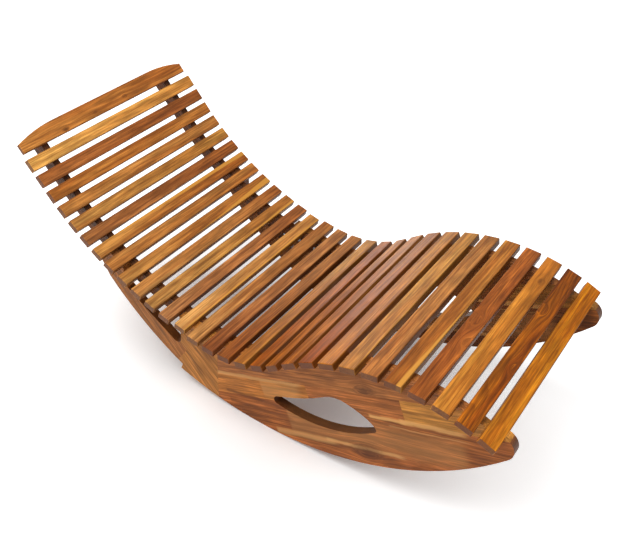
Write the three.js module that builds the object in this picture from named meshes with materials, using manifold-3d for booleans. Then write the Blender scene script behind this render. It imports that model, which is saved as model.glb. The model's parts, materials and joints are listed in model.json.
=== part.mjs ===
// Rocking chaise lounge in oiled hardwood, in millimetres, with +Z up.
// The sitter's head is towards -X and the feet towards +X; the left side is +Y.
// The side view is drawn with x = 0, z = 0 at the point where the rockers touch the floor. The seat line
// hangs from the rockers' noses. The finished group is then moved so that its origin is the middle of its
// footprint.

import * as THREE from 'three';
import Module from 'manifold-3d';

const kernel = await Module();
kernel.setup();

// Seat line: the curve through the middle of every slat's top face, walked from the head to the feet
const BACK_SLOPE = THREE.MathUtils.degToRad(-48.3);
const BACK_STRAIGHT = 111;
const LUMBAR_RADIUS = 765;
const LUMBAR_SWEEP = THREE.MathUtils.degToRad(41.3);
const SEAT_RADIUS = 280;
const SEAT_SWEEP = THREE.MathUtils.degToRad(42.7);
const THIGH_STRAIGHT = 59;
const KNEE_RADIUS = 486;
const KNEE_SWEEP = THREE.MathUtils.degToRad(70);

// Slats: how many there are in each stretch of the seat line, and their spacing along it
const UPPER_BACK_COUNT = 9;
const LUMBAR_COUNT = 8;
const HOLLOW_COUNT = 3;
const LEG_COUNT = 10;
const UPPER_BACK_PITCH = 43.9;
const LUMBAR_PITCH = 46.4;
const HOLLOW_PITCH = 49;
const LEG_PITCH = 55.5;

// Slat sections; slats up to LAST_BACK_SLAT ride on the rails, and the rest on the side frames
const LAST_BACK_SLAT = 14;
const LAST_NARROW_SLAT = 20;
const SLAT_THICKNESS = 13;
const BACK_SLAT_WIDTH = 29;
const SEAT_SLAT_WIDTH = 32;
const LEG_SLAT_WIDTH = 36.5;
const SEAT_SLAT_LENGTH = 600;
const BACK_SLAT_INSET = 7.5;
const SLAT_OVERHANG = 42;
const SLAT_EDGE_ROUND = 2;

// Head board: the first slat, wide in the middle and drawn in at both ends
const HEAD_BOARD_WIDTH = 44;
const HEAD_BOARD_END_WIDTH = 26;
const HEAD_BOARD_TAPER_LENGTH = 120;

// Side frames: one flat glued-up rocker on each side
const ROCKER_RADIUS = 780;
const ROCKER_FACET_ANGLE = THREE.MathUtils.degToRad(2.8);
const FRAME_THICKNESS = 24;
const NOSE_RADIUS = 34;
const NOSE_REACH = 700;
const NOSE_MEET_ANGLE = THREE.MathUtils.degToRad(76.3);
const SHOULDER_REACH = 261;
const SHOULDER_STEP = 18;

// Rear arm: it leaves the rocker at the shoulder, curves up to the rail and carries two slats on its head
const FIRST_ARM_SLAT = 8;
const LAST_ARM_SLAT = 9;
const ARM_OUTER_RADIUS = 796;
const ARM_HEAD_DROP = 68;
const ARM_HEAD_LEAN = 10;
const ARM_HEAD_CUT = 14;
const ARM_THROAT_DROP = 62;
const ARM_THROAT_ROUND = 18;

// Slot between the arm and the seat part; its round end lies below the gap before FIRST_FRAME_SLAT
const FIRST_FRAME_SLAT = 14;
const SLOT_END_DEPTH = 92;
const SLOT_END_RADIUS = 15;

// Wing-shaped hand hole. Each point is a distance along the rocker from the resting point and a height above
// the running edge; the lower edge, WING_LIP above it in the middle, rises by WING_LIP_RISE towards its ends
const WING_LIP = 82;
const WING_LIP_RISE = 17;
const WING_LIP_REAR_REACH = 58;
const WING_LIP_FRONT_REACH = 374;
const WING_REAR_LOW_LEAD = [40, 100];
const WING_REAR_HIGH_LEAD = [40, 120];
const WING_REAR_TOP = [56, 124];
const WING_TOP_LEAD = [236, 160];
const WING_PEAK_LEAD = [222, 192];
const WING_PEAK = [292, 178];
const WING_PEAK_TAIL = [323, 166];
const WING_FRONT_TAIL = [384, 126];
const WING_FRONT_TIP = [379, 104];

// Glue lines between the boards of a side frame. The rear one meets the upright seam at a share of its height;
// the upper one passes WING_CROWN_WIDTH above the peak of the hand hole
const SEAM_ALONG = 670;
const REAR_GLUE_HEIGHT_SHARE = 0.085;
const WING_CROWN_WIDTH = 27;
const BOARD_SLOPE = THREE.MathUtils.degToRad(22.7);
const BOARD_WIDTH = 62;

// Back rails: two curved bearers that carry the back slats
const RAIL_THICKNESS = 20;
const RAIL_DEPTH = 36.6;
const RAIL_HEAD_OVERRUN = 2;
const RAIL_FOOT_OVERRUN = 14;
const RAIL_END_CUT = 20;
const LAST_RAIL_SLAT = 17;

// Stretcher under the seat, with a stub tenon at each end
const STRETCHER_ALONG = 785;
const STRETCHER_CLEARANCE = 12;
const STRETCHER_DEPTH = 48;
const STRETCHER_THICKNESS = 20;
const TENON_LENGTH = 12;
const TENON_SHOULDER = 4;

// Blind dowels that hold every slat
const DOWEL_RADIUS = 4;
const DOWEL_DEPTH = 12;
const DOWEL_SIDES = 8;

// Furniture bolts and insert nuts that hold each rail to its side frame
const BOLT_RADIUS = 3;
const BOLT_HEAD_RADIUS = 6.5;
const BOLT_HEAD_HEIGHT = 3.6;
const BOLT_HEAD_CROWN = 1.2;
const BOLT_SOCKET_RADIUS = 2.3;
const BOLT_SOCKET_DEPTH = 2.2;
const BOLT_TIP_CUT = 0.8;
const INSERT_RADIUS = 5.5;
const INSERT_LENGTH = 13;
const BOLT_SIDES = 12;
const ARM_BOLTS_ALONG = [309, 347];
const SEAT_BOLTS_ALONG = [592, 646];

// Fits
const SEAT_GAP = 0.3;
const GLUE_GAP = 0.3;
const HOLE_CLEARANCE = 0.3;
const BLIND_CLEARANCE = 0.6;
const OVERRUN = 5;
const REACH = 2000;
const WELD_DISTANCE = 0.0001;

// Wood tones seen on the oiled boards, and the zinc of the fittings
const TONES = {
  honey: 0xd0924c,
  gold: 0xbe7c38,
  amber: 0xb06f34,
  russet: 0x9a5c2c,
  umber: 0x8c4e20,
};
const SLAT_TONES = [
  'amber', 'honey', 'russet', 'amber', 'amber', 'gold', 'russet', 'gold', 'amber', 'gold',
  'amber', 'gold', 'russet', 'honey', 'amber', 'russet', 'amber', 'gold', 'amber', 'amber',
  'amber', 'amber', 'honey', 'gold', 'amber', 'gold', 'russet', 'gold', 'umber', 'gold',
];
const WOOD_ROUGHNESS = 0.5;
const ZINC_COLOUR = 0xb4b6b8;
const ZINC_ROUGHNESS = 0.35;

// Steps that the drawn curves are divided into
const LONG_ARC_STEPS = 10;
const ROUND_END_STEPS = 6;
const LIP_STEPS = 12;
const FRAME_CURVE_STEPS = 8;
const HEAD_CURVE_STEPS = 6;

const BACK_SLAT_LENGTH = SEAT_SLAT_LENGTH - 2 * BACK_SLAT_INSET;
const FRAME_OUTER_Y = SEAT_SLAT_LENGTH / 2 - SLAT_OVERHANG;
const FRAME_INNER_Y = FRAME_OUTER_Y - FRAME_THICKNESS;
const FRAME_MIDDLE_Y = FRAME_OUTER_Y - FRAME_THICKNESS / 2;
const RAIL_OUTER_Y = FRAME_INNER_Y - SEAT_GAP;
const RAIL_INNER_Y = RAIL_OUTER_Y - RAIL_THICKNESS;
const RAIL_MIDDLE_Y = RAIL_OUTER_Y - RAIL_THICKNESS / 2;
const SLAT_COUNT = UPPER_BACK_COUNT + LUMBAR_COUNT + HOLLOW_COUNT + LEG_COUNT;

// Seat line as a chain of straight and curved stretches, each with its length and curvature
const SEAT_LINE = [
  { length: BACK_STRAIGHT, curvature: 0 },
  { length: LUMBAR_RADIUS * LUMBAR_SWEEP, curvature: 1 / LUMBAR_RADIUS },
  { length: SEAT_RADIUS * SEAT_SWEEP, curvature: 1 / SEAT_RADIUS },
  { length: THIGH_STRAIGHT, curvature: 0 },
  { length: KNEE_RADIUS * KNEE_SWEEP, curvature: -1 / KNEE_RADIUS },
];

function advance(place, distance, curvature) {
  if (curvature === 0) {
    return {
      x: place.x + distance * Math.cos(place.slope),
      z: place.z + distance * Math.sin(place.slope),
      slope: place.slope,
    };
  }
  const slope = place.slope + distance * curvature;
  return {
    x: place.x + (Math.sin(slope) - Math.sin(place.slope)) / curvature,
    z: place.z - (Math.cos(slope) - Math.cos(place.slope)) / curvature,
    slope,
  };
}

// Place on the seat line at a distance from the head end, walked from a given head place
function walkSeatLine(distance, head) {
  let place = { ...head, slope: BACK_SLOPE };
  let left = distance;
  for (const stretch of SEAT_LINE) {
    const step = Math.min(left, stretch.length);
    place = advance(place, step, stretch.curvature);
    left -= step;
    if (left <= 0) {
      break;
    }
  }
  return place;
}

// Point on the rocker at a distance along it from the resting point, and a height above the running edge
function rockerPoint(reach, height = 0) {
  const angle = reach / ROCKER_RADIUS;
  const radius = ROCKER_RADIUS - height;
  return [radius * Math.sin(angle), ROCKER_RADIUS - radius * Math.cos(angle)];
}

// Point at a depth below a place on the seat line, and a distance along its tangent
function below(place, depth, along = 0) {
  return [
    place.x + depth * Math.sin(place.slope) + along * Math.cos(place.slope),
    place.z - depth * Math.cos(place.slope) + along * Math.sin(place.slope),
  ];
}

function slatWidth(number) {
  if (number === 1) {
    return HEAD_BOARD_END_WIDTH;
  }
  if (number <= LAST_BACK_SLAT) {
    return BACK_SLAT_WIDTH;
  }
  return number <= LAST_NARROW_SLAT ? SEAT_SLAT_WIDTH : LEG_SLAT_WIDTH;
}

function pitchBefore(number) {
  if (number <= UPPER_BACK_COUNT) {
    return UPPER_BACK_PITCH;
  }
  if (number <= UPPER_BACK_COUNT + LUMBAR_COUNT) {
    return LUMBAR_PITCH;
  }
  return number <= UPPER_BACK_COUNT + LUMBAR_COUNT + HOLLOW_COUNT ? HOLLOW_PITCH : LEG_PITCH;
}

// Distance of a slat from the head end, along the seat line
function slatAlong(number) {
  let along = 0;
  for (let next = 2; next <= number; next += 1) {
    along += pitchBefore(next);
  }
  return along;
}

// Head end of the seat line, placed so that the last slat's foot edge meets the top of the rockers' noses
function headPlace() {
  const centre = rockerPoint(NOSE_REACH, NOSE_RADIUS);
  const meet = [
    centre[0] + NOSE_RADIUS * Math.cos(NOSE_MEET_ANGLE),
    centre[1] + NOSE_RADIUS * Math.sin(NOSE_MEET_ANGLE),
  ];
  const last = walkSeatLine(slatAlong(SLAT_COUNT), { x: 0, z: 0 });
  const edge = below(last, 0, slatWidth(SLAT_COUNT) / 2 + SEAT_GAP);
  return { x: meet[0] - edge[0], z: meet[1] - edge[1] };
}

const HEAD_PLACE = headPlace();

function seatLineAt(distance) {
  return walkSeatLine(distance, HEAD_PLACE);
}

// Slats, numbered from 1 at the head
const slats = Array.from({ length: SLAT_COUNT }, (_, i) => {
  const number = i + 1;
  return { number, place: seatLineAt(slatAlong(number)), width: slatWidth(number) };
});

// The two ends of the flat that a slat sits on, head end first
function slatFlat(slat) {
  const depth = SLAT_THICKNESS + SEAT_GAP;
  return [below(slat.place, depth, -slat.width / 2), below(slat.place, depth, slat.width / 2)];
}

// Flats of a run of slats, head to foot, as one list of points
function flatsBetween(first, last) {
  return slats.slice(first - 1, last).flatMap(slatFlat);
}

// Solids and meshes

function toSolid(geometry) {
  const position = geometry.getAttribute('position');
  const spot = (i) => [position.getX(i), position.getY(i), position.getZ(i)];
  const key = (i) => spot(i).map((value) => Math.round(value / WELD_DISTANCE)).join();
  const found = new Map();
  const points = [];
  const indices = geometry.index ? Array.from(geometry.index.array) : Array.from(position.array.keys());
  const corners = geometry.index ? indices : indices.slice(0, position.count);
  const triangles = corners.map((i) => {
    const name = key(i);
    if (!found.has(name)) {
      found.set(name, points.length / 3);
      points.push(...spot(i));
    }
    return found.get(name);
  });
  const kept = [];
  for (let i = 0; i < triangles.length; i += 3) {
    const [a, b, c] = triangles.slice(i, i + 3);
    if (a !== b && b !== c && c !== a) {
      kept.push(a, b, c);
    }
  }
  return new kernel.Manifold(new kernel.Mesh({
    numProp: 3,
    vertProperties: new Float32Array(points),
    triVerts: new Uint32Array(kept),
  }));
}

function toGeometry(solid) {
  const mesh = solid.getMesh();
  const geometry = new THREE.BufferGeometry();
  geometry.setAttribute('position', new THREE.BufferAttribute(new Float32Array(mesh.vertProperties), 3));
  geometry.setIndex(Array.from(mesh.triVerts));
  geometry.computeVertexNormals();
  return geometry;
}

function joined(solids) {
  return solids.reduce((sum, solid) => sum.add(solid));
}

function cutBy(solid, cutters) {
  return cutters.reduce((rest, cutter) => rest.subtract(cutter), solid);
}

function shapeOf(points) {
  return new THREE.Shape(points.map(([x, z]) => new THREE.Vector2(x, z)));
}

// Plate whose outline is drawn in x and z, standing between two values of y
function plate(shape, fromY, toY, curveSegments = FRAME_CURVE_STEPS) {
  const geometry = new THREE.ExtrudeGeometry(shape, {
    depth: toY - fromY,
    bevelEnabled: false,
    curveSegments,
  });
  geometry.rotateX(Math.PI / 2);
  geometry.translate(0, toY, 0);
  return geometry;
}

function woodMaterial(tone) {
  return new THREE.MeshStandardMaterial({
    color: TONES[tone],
    roughness: WOOD_ROUGHNESS,
    metalness: 0,
  });
}

function zincMaterial() {
  return new THREE.MeshStandardMaterial({ color: ZINC_COLOUR, roughness: ZINC_ROUGHNESS, metalness: 1 });
}

function namedMesh(name, geometry, material) {
  const mesh = new THREE.Mesh(geometry, material);
  mesh.name = name;
  return mesh;
}

// Pegs that stand along a slat's normal, at its own two bearers; the slat's underside is z = 0
function dowelPegs(bearerY, radius, depth) {
  return [-bearerY, bearerY].map((y) => {
    const peg = new THREE.CylinderGeometry(radius, radius, depth + SLAT_THICKNESS / 2, DOWEL_SIDES);
    peg.rotateX(Math.PI / 2);
    peg.translate(0, y, SLAT_THICKNESS / 4 - depth / 2);
    return peg;
  });
}

function bearerOf(slat) {
  return slat.number <= LAST_BACK_SLAT ? RAIL_MIDDLE_Y : FRAME_MIDDLE_Y;
}

// Places a slat, or a cutter for its dowels, on the seat line
function seatOf(slat) {
  const [x, z] = below(slat.place, SLAT_THICKNESS);
  return new THREE.Matrix4().makeRotationY(-slat.place.slope).setPosition(x, 0, z);
}

// Dowel holes of a run of slats, ready to cut from the bearers
function dowelHoles(first, last) {
  return slats.slice(first - 1, last).flatMap((slat) => {
    const pegs = dowelPegs(bearerOf(slat), DOWEL_RADIUS + HOLE_CLEARANCE, DOWEL_DEPTH + BLIND_CLEARANCE);
    return pegs.map((peg) => toSolid(peg.applyMatrix4(seatOf(slat))));
  });
}

// Slats

function slatSection(width) {
  const half = width / 2;
  const ease = SLAT_EDGE_ROUND;
  const top = SLAT_THICKNESS;
  return shapeOf([
    [-half + ease, 0],
    [half - ease, 0],
    [half, ease],
    [half, top - ease],
    [half - ease, top],
    [-half + ease, top],
    [-half, top - ease],
    [-half, ease],
  ]);
}

// The head board in plan: straight along its foot edge, bowed along its head edge
function headBoardPlan() {
  const foot = HEAD_BOARD_END_WIDTH / 2;
  const crown = foot - HEAD_BOARD_WIDTH;
  const end = BACK_SLAT_LENGTH / 2;
  const taper = end - HEAD_BOARD_TAPER_LENGTH;
  const shoulder = end - HEAD_BOARD_TAPER_LENGTH / 2;
  const plan = new THREE.Shape();
  plan.moveTo(foot, -end);
  plan.lineTo(foot, end);
  plan.lineTo(-foot, end);
  plan.quadraticCurveTo(crown, shoulder, crown, taper);
  plan.lineTo(crown, -taper);
  plan.quadraticCurveTo(crown, -shoulder, -foot, -end);
  return plan;
}

function headBoardBlank() {
  const inner = SLAT_THICKNESS - 2 * SLAT_EDGE_ROUND;
  const geometry = new THREE.ExtrudeGeometry(headBoardPlan(), {
    depth: inner,
    bevelEnabled: true,
    bevelSegments: 1,
    bevelSize: SLAT_EDGE_ROUND,
    bevelOffset: -SLAT_EDGE_ROUND,
    bevelThickness: SLAT_EDGE_ROUND,
    curveSegments: HEAD_CURVE_STEPS,
  });
  geometry.translate(0, 0, SLAT_EDGE_ROUND);
  return geometry;
}

function slatMesh(slat) {
  const length = slat.number <= LAST_BACK_SLAT ? BACK_SLAT_LENGTH : SEAT_SLAT_LENGTH;
  const blank = slat.number === 1
    ? headBoardBlank()
    : plate(slatSection(slat.width), -length / 2, length / 2);
  const pegs = dowelPegs(bearerOf(slat), DOWEL_RADIUS, DOWEL_DEPTH);
  const geometry = toGeometry(joined([blank, ...pegs].map(toSolid)));
  const name = slat.number === 1 ? 'head_board' : `slat_${String(slat.number).padStart(2, '0')}`;
  const mesh = namedMesh(name, geometry, woodMaterial(SLAT_TONES[slat.number - 1]));
  mesh.applyMatrix4(seatOf(slat));
  return mesh;
}

// Side frames

// The running edge, in equal facets with one facet centred on the resting point
function rockerEdge(fromReach, toReach) {
  const facet = ROCKER_RADIUS * ROCKER_FACET_ANGLE;
  const points = [rockerPoint(fromReach)];
  for (let i = Math.ceil(fromReach / facet - 1 / 2); (i + 1 / 2) * facet < toReach; i += 1) {
    points.push(rockerPoint((i + 1 / 2) * facet));
  }
  points.push(rockerPoint(toReach));
  return points;
}

function arcPoints(centre, radius, fromAngle, toAngle, count) {
  return Array.from({ length: count + 1 }, (_, i) => {
    const angle = fromAngle + (i / count) * (toAngle - fromAngle);
    return [centre[0] + radius * Math.cos(angle), centre[1] + radius * Math.sin(angle)];
  });
}

function angleFrom(centre, point) {
  return Math.atan2(point[1] - centre[1], point[0] - centre[0]);
}

// Arc of a given radius that sags below the straight line between two points
function saggingArc(from, to, radius, count) {
  const half = Math.hypot(to[0] - from[0], to[1] - from[1]) / 2;
  const rise = Math.sqrt(radius ** 2 - half ** 2);
  const direction = angleFrom(from, to) + Math.PI / 2;
  const centre = [
    (from[0] + to[0]) / 2 + rise * Math.cos(direction),
    (from[1] + to[1]) / 2 + rise * Math.sin(direction),
  ];
  return arcPoints(centre, radius, angleFrom(centre, from), angleFrom(centre, to), count);
}

// Middle of the slot's round end, below the gap between two slats
function slotEndCentre() {
  const gapAlong = (slatAlong(FIRST_FRAME_SLAT - 1) + slatAlong(FIRST_FRAME_SLAT)) / 2;
  return below(seatLineAt(gapAlong), SLOT_END_DEPTH);
}

// Edge of the slot, from the arm's throat along its top, round the end and straight up to the slats
function slotEdge(throat) {
  const centre = slotEndCentre();
  const reach = Math.hypot(centre[0] - throat[0], centre[1] - throat[1]);
  const along = angleFrom(throat, centre) - Math.asin(SLOT_END_RADIUS / reach);
  return [
    [throat[0] + ARM_THROAT_ROUND * Math.cos(along), throat[1] + ARM_THROAT_ROUND * Math.sin(along)],
    ...arcPoints(centre, SLOT_END_RADIUS, along - Math.PI / 2, 0, ROUND_END_STEPS),
  ];
}

// Rounded nose, from the running edge up to the foot edge of the last slat
function noseEdge() {
  const centre = rockerPoint(NOSE_REACH, NOSE_RADIUS);
  const start = NOSE_REACH / ROCKER_RADIUS - Math.PI / 2;
  return arcPoints(centre, NOSE_RADIUS, start, NOSE_MEET_ANGLE, LONG_ARC_STEPS);
}

// Head of the rear arm and its outer edge, from the throat to the shoulder
function armEdge(throat) {
  const flats = flatsBetween(FIRST_ARM_SLAT, LAST_ARM_SLAT).reverse();
  const [headX, headZ] = flats[flats.length - 1];
  const end = [headX - ARM_HEAD_LEAN, headZ - ARM_HEAD_DROP];
  const shoulder = rockerPoint(-SHOULDER_REACH, SHOULDER_STEP);
  const outer = saggingArc(end, shoulder, ARM_OUTER_RADIUS, LONG_ARC_STEPS);
  return [
    [throat[0], throat[1] + ARM_THROAT_ROUND],
    ...flats,
    [end[0], end[1] + ARM_HEAD_CUT],
    ...outer.slice(1),
  ];
}

// Whole outline of a side frame, anticlockwise from the shoulder along the running edge
function frameOutline() {
  const lastSlat = slats[SLAT_COUNT - 1];
  const notch = below(lastSlat.place, SLAT_THICKNESS + SEAT_GAP, lastSlat.width / 2 + SEAT_GAP);
  const top = flatsBetween(FIRST_FRAME_SLAT, SLAT_COUNT).reverse();
  const armFoot = flatsBetween(LAST_ARM_SLAT, LAST_ARM_SLAT)[1];
  const throat = [armFoot[0], armFoot[1] - ARM_THROAT_DROP];
  const slot = slotEdge(throat);
  const slotX = slot[slot.length - 1][0];
  const [flatX, flatZ] = top[top.length - 1];
  const slotTop = [slotX, flatZ + (slotX - flatX) * Math.tan(slats[FIRST_FRAME_SLAT - 1].place.slope)];
  const outline = new THREE.Shape();
  const walk = (points) => points.forEach(([x, z]) => outline.lineTo(x, z));
  outline.moveTo(...rockerPoint(-SHOULDER_REACH));
  walk(rockerEdge(-SHOULDER_REACH, NOSE_REACH).slice(1));
  walk([...noseEdge().slice(1), notch, ...top.slice(1), slotTop, ...slot.reverse()]);
  const [throatTop, ...arm] = armEdge(throat);
  outline.quadraticCurveTo(...throat, ...throatTop);
  walk(arm);
  return outline;
}

// Point of the hand hole's lower edge, at a share of the way from its front end to its rear end
function wingLipPoint(share) {
  const fromMiddleShare = 2 * share - 1;
  const reach = THREE.MathUtils.lerp(WING_LIP_FRONT_REACH, WING_LIP_REAR_REACH, share);
  return rockerPoint(reach, WING_LIP + WING_LIP_RISE * fromMiddleShare ** 2);
}

function wingHole() {
  const hole = new THREE.Path();
  hole.moveTo(...rockerPoint(...WING_REAR_TOP));
  hole.bezierCurveTo(
    ...rockerPoint(...WING_TOP_LEAD),
    ...rockerPoint(...WING_PEAK_LEAD),
    ...rockerPoint(...WING_PEAK),
  );
  hole.bezierCurveTo(
    ...rockerPoint(...WING_PEAK_TAIL),
    ...rockerPoint(...WING_FRONT_TAIL),
    ...rockerPoint(...WING_FRONT_TIP),
  );
  for (let i = 0; i <= LIP_STEPS; i += 1) {
    hole.lineTo(...wingLipPoint(i / LIP_STEPS));
  }
  hole.bezierCurveTo(
    ...rockerPoint(...WING_REAR_LOW_LEAD),
    ...rockerPoint(...WING_REAR_HIGH_LEAD),
    ...rockerPoint(...WING_REAR_TOP),
  );
  return hole;
}

// Bolt places, each on the middle line of a rail
function boltPlaces() {
  return [...ARM_BOLTS_ALONG, ...SEAT_BOLTS_ALONG].map((along) => {
    return below(seatLineAt(along), SLAT_THICKNESS + SEAT_GAP + RAIL_DEPTH / 2);
  });
}

// Round bar along y between two distances from the middle plane, on one side
function crossBar([x, z], radius, nearY, farY, side, sides = BOLT_SIDES) {
  const bar = new THREE.CylinderGeometry(radius, radius, farY - nearY, sides);
  bar.translate(x, (side * (nearY + farY)) / 2, z);
  return bar;
}

function stretcherPlace() {
  const { x, z } = seatLineAt(STRETCHER_ALONG);
  return [x, z - SLAT_THICKNESS - STRETCHER_CLEARANCE - STRETCHER_DEPTH / 2];
}

function mortise(side) {
  const [x, z] = stretcherPlace();
  const grow = HOLE_CLEARANCE;
  const inner = FRAME_INNER_Y - OVERRUN;
  const outer = FRAME_INNER_Y + TENON_LENGTH + BLIND_CLEARANCE;
  const box = new THREE.BoxGeometry(
    STRETCHER_THICKNESS - 2 * TENON_SHOULDER + 2 * grow,
    outer - inner,
    STRETCHER_DEPTH - 2 * TENON_SHOULDER + 2 * grow,
  );
  box.translate(x, (side * (inner + outer)) / 2, z);
  return box;
}

function wholeFrame(side) {
  const outline = frameOutline();
  outline.holes.push(wingHole());
  const fromY = side > 0 ? FRAME_INNER_Y : -FRAME_OUTER_Y;
  const blank = toSolid(plate(outline, fromY, fromY + FRAME_THICKNESS));
  const inserts = boltPlaces().map((place) => {
    const depth = INSERT_LENGTH + BLIND_CLEARANCE;
    const radius = INSERT_RADIUS + HOLE_CLEARANCE;
    return toSolid(crossBar(place, radius, FRAME_INNER_Y - OVERRUN, FRAME_INNER_Y + depth, side));
  });
  const dowels = dowelHoles(LAST_BACK_SLAT + 1, SLAT_COUNT);
  return cutBy(blank, [...inserts, ...dowels, toSolid(mortise(side))]);
}

// Region above a sloping line through a point, as a thick slab, between two values of x
function regionAbove([x, z], slope, fromX, toX) {
  const slab = new THREE.BoxGeometry(2 * REACH, REACH, 2 * REACH);
  slab.translate(0, 0, REACH);
  slab.rotateY(-slope);
  slab.translate(x, 0, z);
  const window = new THREE.BoxGeometry(toX - fromX, REACH, 2 * REACH);
  window.translate((fromX + toX) / 2, 0, 0);
  return toSolid(slab).intersect(toSolid(window));
}

// The five boards that a side frame is glued up from
function frameBoards(side) {
  const frame = wholeFrame(side);
  const half = GLUE_GAP / 2;
  const rise = half / Math.cos(BOARD_SLOPE);
  const seam = seatLineAt(SEAM_ALONG);
  const [crownX, crownZ] = rockerPoint(WING_PEAK[0], WING_PEAK[1] + WING_CROWN_WIDTH);
  const lowerZ = crownZ - BOARD_WIDTH / Math.cos(BOARD_SLOPE);
  const aboveUpper = (shift) => regionAbove([crownX, crownZ + shift], BOARD_SLOPE, seam.x, REACH);
  const aboveLower = (shift) => regionAbove([crownX, lowerZ + shift], BOARD_SLOPE, seam.x, REACH);
  const everyHeight = -REACH;
  const front = frame.intersect(regionAbove([0, everyHeight], 0, seam.x + half, REACH));
  const rear = frame.intersect(regionAbove([0, everyHeight], 0, -REACH, seam.x - half));
  const [slotX, slotZ] = slotEndCentre();
  const footZ = rockerPoint(seam.x)[1];
  const rearGlueZ = footZ + REAR_GLUE_HEIGHT_SHARE * (seam.z - footZ);
  const rearSlope = Math.atan2(rearGlueZ - slotZ, seam.x - slotX);
  const rearRise = half / Math.cos(rearSlope);
  const aboveRear = (shift) => regionAbove([seam.x, rearGlueZ + shift], rearSlope, slotX, REACH);
  return {
    arm_board: rear.subtract(aboveRear(-rearRise)),
    rear_seat_board: rear.intersect(aboveRear(rearRise)),
    upper_board: front.intersect(aboveUpper(rise)),
    middle_board: front.subtract(aboveUpper(-rise)).intersect(aboveLower(rise)),
    rocker_board: front.subtract(aboveLower(-rise)),
  };
}

const BOARD_TONES = {
  arm_board: 'amber',
  rear_seat_board: 'gold',
  upper_board: 'russet',
  middle_board: 'amber',
  rocker_board: 'russet',
};

function sideFrame(side) {
  const group = new THREE.Group();
  const word = side > 0 ? 'left' : 'right';
  for (const [name, solid] of Object.entries(frameBoards(side))) {
    group.add(namedMesh(`${word}_${name}`, toGeometry(solid), woodMaterial(BOARD_TONES[name])));
  }
  return group;
}

// Back rails

function railOutline() {
  const depth = SLAT_THICKNESS + SEAT_GAP;
  const first = slats[0];
  const last = slats[LAST_RAIL_SLAT - 1];
  const headAlong = -first.width / 2 - RAIL_HEAD_OVERRUN;
  const footAlong = last.width / 2 + RAIL_FOOT_OVERRUN;
  const bottom = slats.slice(0, LAST_RAIL_SLAT).map((slat) => below(slat.place, depth + RAIL_DEPTH));
  return shapeOf([
    below(first.place, depth, headAlong),
    below(first.place, depth + RAIL_DEPTH - RAIL_END_CUT, headAlong),
    below(first.place, depth + RAIL_DEPTH, headAlong + RAIL_END_CUT / 2),
    ...bottom,
    below(last.place, depth + RAIL_DEPTH, last.width / 2),
    below(last.place, depth + RAIL_DEPTH - RAIL_END_CUT, footAlong),
    below(last.place, depth, footAlong),
    ...flatsBetween(1, LAST_RAIL_SLAT).reverse(),
  ]);
}

function backRail(side) {
  const fromY = side > 0 ? RAIL_INNER_Y : -RAIL_OUTER_Y;
  const blank = toSolid(plate(railOutline(), fromY, fromY + RAIL_THICKNESS));
  const bores = boltPlaces().map((place) => {
    const radius = BOLT_RADIUS + HOLE_CLEARANCE;
    return toSolid(crossBar(place, radius, RAIL_INNER_Y - OVERRUN, RAIL_OUTER_Y + OVERRUN, side));
  });
  const solid = cutBy(blank, [...bores, ...dowelHoles(1, LAST_BACK_SLAT)]);
  const name = `${side > 0 ? 'left' : 'right'}_back_rail`;
  return namedMesh(name, toGeometry(solid), woodMaterial('umber'));
}

// Stretcher

function stretcher() {
  const shoulderY = FRAME_INNER_Y - SEAT_GAP;
  const body = new THREE.BoxGeometry(STRETCHER_THICKNESS, 2 * shoulderY, STRETCHER_DEPTH);
  const tenon = new THREE.BoxGeometry(
    STRETCHER_THICKNESS - 2 * TENON_SHOULDER,
    2 * (FRAME_INNER_Y + TENON_LENGTH),
    STRETCHER_DEPTH - 2 * TENON_SHOULDER,
  );
  const mesh = namedMesh('seat_stretcher', toGeometry(joined([body, tenon].map(toSolid))), woodMaterial('umber'));
  const [x, z] = stretcherPlace();
  mesh.position.set(x, 0, z);
  return mesh;
}

// Bolts and insert nuts, modelled along +Y from the rail's inner face and turned for the other side

function boltMesh(name) {
  const tip = RAIL_THICKNESS + SEAT_GAP + INSERT_LENGTH;
  const crown = -BOLT_HEAD_HEIGHT - SEAT_GAP;
  const profile = [
    [0, crown],
    [BOLT_HEAD_RADIUS - BOLT_HEAD_CROWN, crown],
    [BOLT_HEAD_RADIUS, crown + BOLT_HEAD_CROWN],
    [BOLT_HEAD_RADIUS, -SEAT_GAP],
    [BOLT_RADIUS, -SEAT_GAP],
    [BOLT_RADIUS, tip - BOLT_TIP_CUT],
    [BOLT_RADIUS - BOLT_TIP_CUT, tip],
    [0, tip],
  ].map(([r, y]) => new THREE.Vector2(r, y));
  const body = new THREE.LatheGeometry(profile, BOLT_SIDES);
  const socket = new THREE.CylinderGeometry(BOLT_SOCKET_RADIUS, BOLT_SOCKET_RADIUS, 2 * BOLT_SOCKET_DEPTH, 6);
  socket.translate(0, crown, 0);
  return namedMesh(name, toGeometry(toSolid(body).subtract(toSolid(socket))), zincMaterial());
}

function insertMesh(name) {
  const from = RAIL_THICKNESS + SEAT_GAP;
  const to = from + INSERT_LENGTH;
  const bore = BOLT_RADIUS + HOLE_CLEARANCE;
  const profile = [
    [bore, from],
    [INSERT_RADIUS, from],
    [INSERT_RADIUS, to],
    [bore, to],
    [bore, from],
  ].map(([r, y]) => new THREE.Vector2(r, y));
  const ring = new THREE.LatheGeometry(profile, BOLT_SIDES);
  return namedMesh(name, toGeometry(toSolid(ring)), zincMaterial());
}

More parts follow.
